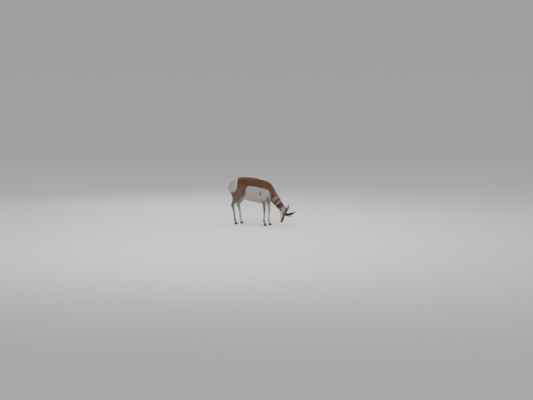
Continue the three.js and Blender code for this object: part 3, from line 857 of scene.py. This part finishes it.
def planting():
    """Geometry nodes that plant tufts on a skin: spread, turned to the lie, sized, joined and unwrapped."""
    tree = bpy.data.node_groups.new("planting", "GeometryNodeTree")
    for name, kind in (
        ("Skin", "NodeSocketGeometry"),
        ("Tuft", "NodeSocketObject"),
        ("Seed", "NodeSocketInt"),
        ("Width", "NodeSocketFloat"),
        ("Spread", "NodeSocketFloat"),
        ("Material", "NodeSocketMaterial"),
    ):
        tree.interface.new_socket(name, in_out="INPUT", socket_type=kind)
    tree.interface.new_socket("Coat", in_out="OUTPUT", socket_type="NodeSocketGeometry")
    given = tree.nodes.new("NodeGroupInput")

    def add(kind, links=None, fixed=None, **settings):
        made = tree.nodes.new(kind)
        for name, value in settings.items():
            setattr(made, name, value)
        for place, value in (fixed or {}).items():
            made.inputs[place].default_value = value
        for place, source in (links or {}).items():
            tree.links.new(source, made.inputs[place])
        return made

    def named(name, kind="FLOAT"):
        kept = add("GeometryNodeInputNamedAttribute", fixed={"Name": name}, data_type=kind)
        return kept.outputs["Attribute"]

    def vector(operation, links, output=0):
        return add("ShaderNodeVectorMath", links, operation=operation).outputs[output]

    seed = given.outputs["Seed"]
    points = add(
        "GeometryNodeDistributePointsOnFaces",
        {"Mesh": given.outputs["Skin"], "Density": named("crowd"), "Seed": seed},
    )
    limits = {0: (-1, -1, -1), 1: (1, 1, 1)}
    stray = add("FunctionNodeRandomValue", {"Seed": seed}, limits, data_type="FLOAT_VECTOR")
    astray = vector("SCALE", {0: stray.outputs[0], 3: given.outputs["Spread"]})
    lie = vector("ADD", {0: named("lie", "FLOAT_VECTOR"), 1: astray})
    normal = points.outputs["Normal"]
    out = vector("DOT_PRODUCT", {0: lie, 1: normal}, 1)
    flat = vector("SUBTRACT", {0: lie, 1: vector("SCALE", {0: normal, 3: out})})
    along = vector("NORMALIZE", {0: flat})
    raised = vector("SCALE", {0: normal, 3: named("lift")})
    heading = vector("ADD", {0: along, 1: raised})
    turn = add("FunctionNodeAxesToRotation", {0: heading, 1: normal}, primary_axis="X", secondary_axis="Z")
    chance = add("FunctionNodeRandomValue", {"Seed": seed}, data_type="FLOAT")
    size = add("FunctionNodeRandomValue", {}, {2: 0.7, 3: 1.2, 8: 5}, data_type="FLOAT").outputs[1]
    long = add("ShaderNodeMath", {0: named("hair"), 1: size}, operation="MULTIPLY").outputs[0]
    wide = add("ShaderNodeMath", {0: given.outputs["Width"], 1: size}, operation="MULTIPLY").outputs[0]
    thick = add("ShaderNodeMath", {0: wide}, {1: 0.45}, operation="MULTIPLY").outputs[0]
    scale = add("ShaderNodeCombineXYZ", {0: long, 1: wide, 2: thick}).outputs[0]
    blade = add("GeometryNodeObjectInfo", {"Object": given.outputs["Tuft"]}).outputs["Geometry"]
    planted = add(
        "GeometryNodeInstanceOnPoints",
        {"Points": points.outputs["Points"], "Instance": blade, "Rotation": turn.outputs[0], "Scale": scale},
    )
    shade = add(
        "GeometryNodeStoreNamedAttribute",
        {0: planted.outputs[0], 3: chance.outputs[1]},
        {"Name": "strand"},
        data_type="FLOAT",
        domain="INSTANCE",
    )
    real = add("GeometryNodeRealizeInstances", {0: shade.outputs[0]})
    patch = vector("ADD", {0: named("unwrap", "FLOAT_VECTOR"), 1: named("local", "FLOAT_VECTOR")})
    baked = add(
        "GeometryNodeStoreNamedAttribute",
        {0: real.outputs[0], 3: patch},
        {"Name": "OFBake"},
        data_type="FLOAT2",
        domain="CORNER",
    )
    smooth = add("GeometryNodeSetShadeSmooth", {0: baked.outputs[0]})
    dressed = add("GeometryNodeSetMaterial", {0: smooth.outputs[0], "Material": given.outputs["Material"]})
    result = tree.nodes.new("NodeGroupOutput")
    tree.links.new(dressed.outputs[0], result.inputs[0])
    return tree


plant = planting()


def grown(name, base, crowd, hair, lift, width, spread, seed, lie=None, flat=None, material=coat_finish):
    """One piece of the coat on a skin, from its tufts to a square metre and their length, lift and width."""
    mesh = base.copy()
    co = places(mesh)
    store(mesh, "lie", "FLOAT_VECTOR", lie_of(co) if lie is None else lie)
    flat = unwrapped(co) if flat is None else flat
    store(mesh, "unwrap", "FLOAT_VECTOR", np.column_stack([flat, np.zeros(len(co))]))
    for label, values in (("crowd", crowd), ("hair", hair), ("lift", lift)):
        store(mesh, label, "FLOAT", np.broadcast_to(values, len(co)))
    holder = shown(name, mesh)
    modifier = holder.modifiers.new("plant", "NODES")
    modifier.node_group = plant
    values = {"Tuft": tuft, "Seed": seed, "Width": width, "Spread": spread, "Material": material}
    for item in plant.interface.items_tree:
        if item.in_out == "INPUT" and item.name in values:
            modifier[item.identifier] = values[item.name]
    made = settled(holder)
    for label in ("lie", "crowd", "hair", "lift", "local", "unwrap"):
        if label in made.attributes:
            made.attributes.remove(made.attributes[label])
    made.name = name
    piece = shown(name, made)
    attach(piece, "root")


# Lengths of the hair in metres, and how much more it has on some parts.
HAIR = {"trunk": 0.020, "legs": 0.011, "feet": 0.007, "face": 0.0080, "lids": 0.0042}
LONGER = {"rump": 0.012, "belly": 0.012, "neck": 0.008, "throat": 0.008}
BODY_TUFTS, LEG_TUFTS, FACE_TUFTS = 66000, 80000, 150000  # on each square metre
BODY_WIDTH, LEG_WIDTH, FACE_WIDTH = 0.0024, 0.0015, 0.0011  # of one tuft
co = places(skin_mesh)
zone = zones(co)
along, up, out = in_head(co)
on_face = zone["head"] > 0.5
x, y, z = co[:, 0] - TRUNK_MIDDLE.x, co[:, 1], co[:, 2]
trunk = (1 - zone["head"]) * (1 - zone["neck"]) * (1 - zone["legs"])
hair = np.full(len(co), HAIR["trunk"])
hair += LONGER["rump"] * zone["rump"] + LONGER["neck"] * zone["neck"]
hair += LONGER["belly"] * (1 - ramp(z, 0.45, 0.52)) * trunk
hair += LONGER["throat"] * zone["neck"] * (1 - ramp(toward_nape(x, z), 0.66, 0.72))
hair += (HAIR["legs"] - hair) * zone["legs"]
hair += (HAIR["feet"] - hair) * zone["feet"]
on_muzzle = 0.0030 * ramp(along, 120, 220) + 0.0018 * ramp(along, 235, 262)
hair += (HAIR["face"] - on_muzzle - hair) * zone["head"]
_, eye_distance = from_eye(co)
hair = np.where(on_face & (eye_distance < 0.031), HAIR["lids"], hair)
lift = 0.16 + 0.30 * zone["rump"] + 0.05 * zone["neck"] - 0.04 * zone["legs"]
lift += (0.14 - lift) * zone["head"]
horn_ring = np.sqrt(((along - 116) / 25) ** 2 + ((out - 37) / 14) ** 2)
at_horn = np.exp(-((horn_ring - 1.1) / 0.45) ** 2) * (up > 44) * on_face
hair -= 0.002 * at_horn
lift += 0.10 * at_horn
furred = 1.0 - on_face * (eye_distance < 0.031) * (slit(along, up) > -0.28) * (out > 38)
furred *= 1 - on_face * (up > 47) * (horn_ring < 1.0)
furred *= 1 - on_face * ramp(along + 0.42 * up, 262, 270) * ramp(up - mouth(along), 1, 4)
furred *= 1 - on_face * ramp(along, 208, 214) * (np.abs(up - mouth(along)) < 2.2)
rear_half = x < 0.06
fore_legs = zone["legs"] * (x > 0.0)
hind_legs = zone["legs"] * (x <= 0.0)
for number, (name, where, density, width) in enumerate((
    ("coat_rear_right", trunk * rear_half * (y < 0), BODY_TUFTS, BODY_WIDTH),
    ("coat_rear_left", trunk * rear_half * (y >= 0), BODY_TUFTS, BODY_WIDTH),
    ("coat_front_right", trunk * ~rear_half * (y < 0), BODY_TUFTS, BODY_WIDTH),
    ("coat_front_left", trunk * ~rear_half * (y >= 0), BODY_TUFTS, BODY_WIDTH),
    ("coat_neck", zone["neck"], BODY_TUFTS, BODY_WIDTH),
    ("coat_legs_fore", fore_legs * (1 - 0.6 * zone["head"]), LEG_TUFTS, LEG_WIDTH),
    ("coat_legs_hind", hind_legs * (1 - 0.6 * zone["head"]), LEG_TUFTS, LEG_WIDTH),
    ("coat_head", zone["head"] * furred, FACE_TUFTS, FACE_WIDTH),
)):
    grown(name, skin_mesh, density * where, hair, lift, width, 0.10, 11 + number)

# Mane: long dark hair in a narrow crest from the poll to the withers, coarser than the coat. It is planted
# on the skin's ridge with the same tufts, leans back along the neck and falls to both sides.
crest = ramp(toward_nape(x, z), 0.752, 0.776) * (1 - ramp(np.abs(y), 0.024, 0.040))
crest *= ramp(normals(skin_mesh) @ np.array((0.64, 0.0, 0.77)), 0.62, 0.82)
crest *= ramp(x, 0.40, 0.47) * (1 - ramp(along, 8, 22) * on_face) * ((z > 0.30) | on_face)
mane_lie = unit(np.stack([np.full(len(co), -0.72), 5 * y, np.full(len(co), 0.46)], 1))
behind_poll = ramp(past_poll(x, z), 0.02, -0.14)
mane_hair = (0.058 - 0.018 * ramp(np.abs(y), 0.0, 0.03)) * (0.45 + 0.55 * behind_poll)
mane_lift = 0.12 + 0.15 * behind_poll
grown("mane", skin_mesh, 150000 * crest, mane_hair, mane_lift, 0.0028, 0.14, 31, lie=mane_lie)

# Eyes: large dark balls with a long level pupil under a clear wet film, set between black lids
# whose upper edge carries a thick row of lashes.
eye_finish, shader, place = finish(
    "eye_dark", 0.12, Specular_IOR_Level=0.20, Coat_Weight=0.20, Coat_Roughness=0.02
)
eye_x, _, eye_z = place.parts()
eye_x = eye_x - eye_middle.x
eye_z = eye_z - eye_middle.z
ahead = eye_x * math.cos(NOSE) + eye_z * math.sin(NOSE)
above = eye_z * math.cos(NOSE) - eye_x * math.sin(NOSE)
pupil = (ahead.squared(0.0085) + above.squared(0.0042)).fall(0.7, 1.2)
rays = place.noise(420.0, 3.0)
iris = rays.blend((0.012, 0.006, 0.0035), (0.026, 0.012, 0.006))
feed(shader, "Base Color", pupil.blend(iris, (0.002, 0.002, 0.0025)))
lid_finish, shader, place = finish("lid_black", 0.7, Specular_IOR_Level=0.15)
shader.inputs["Base Color"].default_value = opaque((0.014, 0.011, 0.010))
bumps(shader, place.noise(900.0, 2.0), 0.4, 0.0006)
LID_RADIUS = 19.5  # of the lids' edge on the ball, in millimetres
LASHES = 58


def lid_edge(side, turn):
    """A point on the edge of the lids, on the ball, with the ball's outward way there."""
    c, s = math.cos(turn), math.sin(turn)
    a = LIDS[0] * math.copysign(abs(c) ** (2 / 1.7), c)
    u = s * (LIDS[1] if s > 0 else LIDS[2])
    v = 1 + u - 0.14 * a
    depth = math.sqrt(LID_RADIUS ** 2 - a * a - v * v)
    middle = Vector(eye_centre(side))
    point = Vector(on_head(EYE_ALONG + a, EYE_UP + v, side * (1000 * eye_middle.y + depth)))
    return point, (point - middle).normalized()


def lids(side):
    """The thick edge of both lids as one closed ring, and the lashes on the upper one."""
    around, sides = 72, 10
    edge = [lid_edge(side, 2 * math.pi * k / around) for k in range(around)]
    points, faces = [], []
    for k, (point, out) in enumerate(edge):
        tangent = (edge[(k + 1) % around][0] - edge[k - 1][0]).normalized()
        aside = tangent.cross(out).normalized()
        heavy = 1 + 0.45 * max(0, math.sin(2 * math.pi * k / around))
        for j in range(sides):
            turn = 2 * math.pi * j / sides
            over = out * (0.0011 * heavy * math.cos(turn))
            points.append(point + over + aside * (0.0013 * heavy * math.sin(turn)))
    for k in range(around):
        for j in range(sides):
            a, b = k * sides + j, k * sides + (j + 1) % sides
            c, d = ((k + 1) % around) * sides + j, ((k + 1) % around) * sides + (j + 1) % sides
            faces.append((a, b, d, c))
    parts = [(points, faces)]
    centre = lid_edge(side, math.pi / 2)[0]
    down_face = Vector(on_head(10, 0, 0) - on_head(0, 0, 0)).normalized()
    rise = Vector(on_head(0, 10, 0) - on_head(0, 0, 0)).normalized()
    lash_faces = [(0, 2, 1), (0, 1, 4, 3), (1, 2, 5, 4), (2, 0, 3, 5), (3, 4, 6), (4, 5, 6), (5, 3, 6)]
    for k in range(LASHES):
        turn = math.pi * (0.10 + 0.80 * (k + 0.5 * (k % 3)) / LASHES)
        point, out = lid_edge(side, turn)
        fan = (point - centre) * 22
        heading = (out + rise * 0.75 + fan * 0.6 + down_face * 0.1).normalized()
        bend = (heading + rise * 0.55).normalized()
        length = 0.0095 + 0.002 * math.sin(7.3 * k)
        root = point + out * 0.0006
        across = heading.cross(rise).normalized()
        normal = across.cross(heading)
        corner = [across * 0.00034, across * -0.00034, normal * 0.0004]
        bent = root + heading * (0.5 * length)
        blade = [root + c for c in corner] + [bent + c * 0.8 for c in corner]
        blade.append(bent + bend * (0.5 * length))
        parts.append((blade, lash_faces))
    return joined(parts, "lids")


for side, name in SIDES:
    ball = bmesh.new()
    bmesh.ops.create_uvsphere(ball, u_segments=48, v_segments=32, radius=EYE_RADIUS)
    mesh = bpy.data.meshes.new("eye")
    ball.to_mesh(mesh)
    ball.free()
    mesh.transform(Matrix.Translation(eye_centre(side)))
    eye = shown(f"eyeball_{name}", mesh, eye_finish)
    eye.data.shade_smooth()
    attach(eye, "root")
    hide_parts(f"eye_{name}")
    lid_piece = shown(f"lids_{name}", lids(side), lid_finish)
    lid_piece.data.shade_smooth()
    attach(lid_piece, "root")

# Horns: a flattened sheath of black horn on a core of bone, which leans back and out, hooks in at its tip
# and bears one forward prong. It is rough and ringed at the base and smoother and paler at the tips.
# Paths are in the head's millimetres, and depths and widths are half sizes in metres.
HORN_PATH = [(118, 44, 35), (106, 92, 43), (88, 134, 53), (63, 173, 61), (34, 200, 62), (8, 212, 54)]
HORN_DEPTH = [0.0245, 0.0215, 0.0190, 0.0147, 0.0087, 0.0017]
HORN_WIDTH = [0.0132, 0.0117, 0.0102, 0.0087, 0.0062, 0.0015]
PRONG_PATH = [(90, 108, 48), (106, 123, 51), (121, 141, 53), (134, 160, 53)]
PRONG_DEPTH = [0.0235, 0.0207, 0.0127, 0.0016]
PRONG_WIDTH = [0.0078, 0.0068, 0.0047, 0.0013]
horn_finish, shader, place = finish("horn_black", 0.6, Specular_IOR_Level=0.30)
horn_x, _, horn_z = place.parts()
rise = (horn_z - eye_middle.z) * math.cos(NOSE) - (horn_x - eye_middle.x) * math.sin(NOSE)
rough = place.noise(55.0, 4.0, (0.45, 1.4, 1.4))
ridges = place.noise(300.0, 3.0, (0.30, 1.0, 1.0))
base = rise.fall(0.02, 0.10)
colour = rough.rise(0.35, 0.80).blend((0.010, 0.008, 0.007), (0.026, 0.020, 0.016))
feed(shader, "Base Color", (rise.rise(0.14, 0.19) * 0.8).blend(colour, (0.060, 0.045, 0.032)))
feed(shader, "Roughness", 0.50 + 0.25 * rough + 0.15 * base)
bumps(shader, rough * 0.5 + ridges * 0.4 + base * ridges * 0.6, 0.7, 0.0026)
HORN_VOXEL = 0.0014
for side, name in SIDES:
    parts = []
    for path, depths, widths in (
        (HORN_PATH, HORN_DEPTH, HORN_WIDTH),
        (PRONG_PATH, PRONG_DEPTH, PRONG_WIDTH),
    ):
        stations = [(on_head(a, u, side * s), d, w) for (a, u, s), d, w in zip(path, depths, widths)]
        parts.append(tube(stations, 60, 32))
    mesh = fused(joined(parts, "horn"), HORN_VOXEL)
    relax(mesh, 5)
    co = places(mesh)
    lumps = np.sin(co[:, 2] * 210 + 3 * np.sin(co[:, 0] * 90)) * np.sin(co[:, 1] * 260 + co[:, 0] * 40)
    _, up, _ = in_head(co)
    height = 0.0005 * lumps * (1 - ramp(up, 90, 150))
    move(mesh, co + normals(mesh) * height[:, None])
    horn = shown(f"horn_sheath_{name}", mesh, horn_finish)
    horn.data.shade_smooth()
    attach(horn, "root")
    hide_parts(f"horn_{name}")

# Ears: each a leaf of gristle rolled into a cup that opens outwards, with short tan hair behind,
# a dark tip and edge, and long white hair inside that lies across the opening.
EAR_STEPS, EAR_ARC = 44, 25  # rings from root to tip, and points across each face of the cup


def ear_colour(place):
    """The colour of an ear from the values kept on its shell, the same for its skin and its hair."""
    inside, along, rim = (attribute(place, name) for name in ("ear_inside", "ear_along", "ear_rim"))
    behind = along.rise(0.70, 0.98).blend((0.36, 0.245, 0.165), (0.070, 0.048, 0.036))
    cup = along.rise(0.80, 1.0).blend((0.80, 0.765, 0.73), (0.30, 0.24, 0.20))
    colour = inside.blend(behind, cup)
    return (rim * 0.7).blend(colour, (0.075, 0.052, 0.040))


ear_finish, shader, place = finish("ear_skin", 0.85, Specular_IOR_Level=0.2)
feed(shader, "Base Color", (0.75 + 0.3 * place.noise(260.0, 3.0)).times(ear_colour(place)))
bumps(shader, place.noise(700.0, 2.0), 0.5, 0.001)
ear_coat, shader, place = finish("ear_hair", 0.8, Specular_IOR_Level=0.2)
# Painted shade: each ear tuft is darker at its root and lighter towards its tip.
shade = (0.78 + 0.30 * attribute(place, "strand")) * (0.84 + 0.22 * attribute(place, "reach"))
feed(shader, "Base Color", shade.times(ear_colour(place)))


def ear_shell(side):
    """Points, faces and the values kept on one ear: inside, along it, at its rim."""
    opening, across = ear_frame(side)[2:]
    points, values = [], []
    for i in range(EAR_STEPS + 1):
        t = i / EAR_STEPS
        middle, radius, roll = ear_ring(side, t)
        wall = min(0.0030 * (1 - 0.45 * t), radius * 0.5)
        for inner in (0, 1):
            for k in range(EAR_ARC):
                share = 2 * k / (EAR_ARC - 1) - 1
                turn = roll * (-share if inner else share)
                r = radius - wall if inner else radius - 0.0008
                points.append(middle + across * (r * math.sin(turn)) - opening * (r * math.cos(turn)))
                values.append((inner, t, ramp(abs(share), 0.80, 0.97)))
    ring = 2 * EAR_ARC
    faces = []
    for i in range(EAR_STEPS):
        for k in range(ring):
            a, b = i * ring + k, i * ring + (k + 1) % ring
            faces.append((a, b, b + ring, a + ring))
    for row in (0, EAR_STEPS):
        for k in range(EAR_ARC - 1):
            a, b = row * ring + k, row * ring + ring - 1 - k
            faces.append((a, a + 1, b - 1, b))
    return points, faces, np.array(values, float)


for number, (side, name) in enumerate(SIDES):
    points, faces, values = ear_shell(side)
    mesh = joined([(points, faces)], "ear")
    inside, reach, rim = values.T
    for label, column in (("ear_inside", inside), ("ear_along", reach), ("ear_rim", rim)):
        store(mesh, label, "FLOAT", column)
    _, length, opening, across = ear_frame(side)
    sway = np.sin(np.arange(len(points)) % EAR_ARC - EAR_ARC // 2)
    aside = np.tile(across, (len(points), 1)) * sway[:, None]
    lie = unit(np.tile(length.normalized(), (len(points), 1)) + 0.10 * aside)
    turned = np.tile(np.linspace(0.02, 0.98, 2 * EAR_ARC), EAR_STEPS + 1)
    flat = np.column_stack([0.03 + 0.94 * reach, turned])
    crowd = 190000 - 60000 * inside
    long = (0.0065 + 0.0085 * inside) * (1 - 0.5 * reach) * (1 - 0.4 * rim)
    raised = 0.16 + 0.30 * inside
    grown(f"ear_coat_{name}", mesh, crowd, long, raised, 0.0011, 0.12, 51 + number, lie, flat, ear_coat)
    ear = shown(f"ear_shell_{name}", mesh, ear_finish)
    ear.data.shade_smooth()
    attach(ear, "root")
    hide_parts(f"ear_{name}")

# Hooves: two pointed claws of black horn side by side on each foot, ribbed a little across their growth.
# They are the solids with their edges worn round, flat on the ground.
HOOF_VOXEL = 0.0016
hoof_finish, shader, place = finish("hoof_black", 0.5, Specular_IOR_Level=0.4)
growth = place.noise(60.0, 3.0, (0.3, 0.3, 5.0))
feed(shader, "Base Color", growth.rise(0.3, 0.8).blend((0.020, 0.016, 0.014), (0.060, 0.048, 0.038)))
bumps(shader, growth + place.noise(500.0, 2.0) * 0.3, 0.4, 0.0015)
for foot in ("fore_right", "fore_left", "hind_right", "hind_left"):
    for claw in (f"{foot}_hoof_inner", f"{foot}_hoof_outer"):
        mesh = fused(gathered([claw]), HOOF_VOXEL)
        relax(mesh, 14)
        co = places(mesh)
        co[:, 2] = np.maximum(co[:, 2], 0)
        move(mesh, co)
        piece = shown(f"claw_{claw}", mesh, hoof_finish)
        piece.data.shade_smooth()
        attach(piece, "root")
        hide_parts(claw)

# Tail: a short dock of flesh that hangs over the rump, hidden in soft hair that takes the rump's colour.
# The dock is the solid smoothed, and its tufts part from its middle line and hang down.
TAIL_VOXEL = 0.0025
tail_core = fused(gathered(["tail"]), TAIL_VOXEL)
relax(tail_core, 25)
relax(tail_core, 30, factors=(0.5,))
move(tail_core, places(tail_core) - normals(tail_core) * 0.003)
tail_piece = shown("tail_dock", tail_core, skin_finish)
tail_piece.data.shade_smooth()
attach(tail_piece, "root")
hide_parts("tail")
co = places(tail_core)
tail_lie = unit(np.stack([np.full(len(co), -0.15), 6 * co[:, 1], np.full(len(co), -1.0)], 1))
tail_turn = np.arctan2(co[:, 1], co[:, 0] + 0.64) / 7 + 0.5
tail_flat = np.clip(np.column_stack([0.1 + (0.85 - co[:, 2]) * 4, tail_turn]), 0.01, 0.99)
grown("coat_tail", tail_core, 160000.0, 0.024, 0.26, 0.0024, 0.14, 71, tail_lie, tail_flat)
bpy.data.objects.remove(tuft)
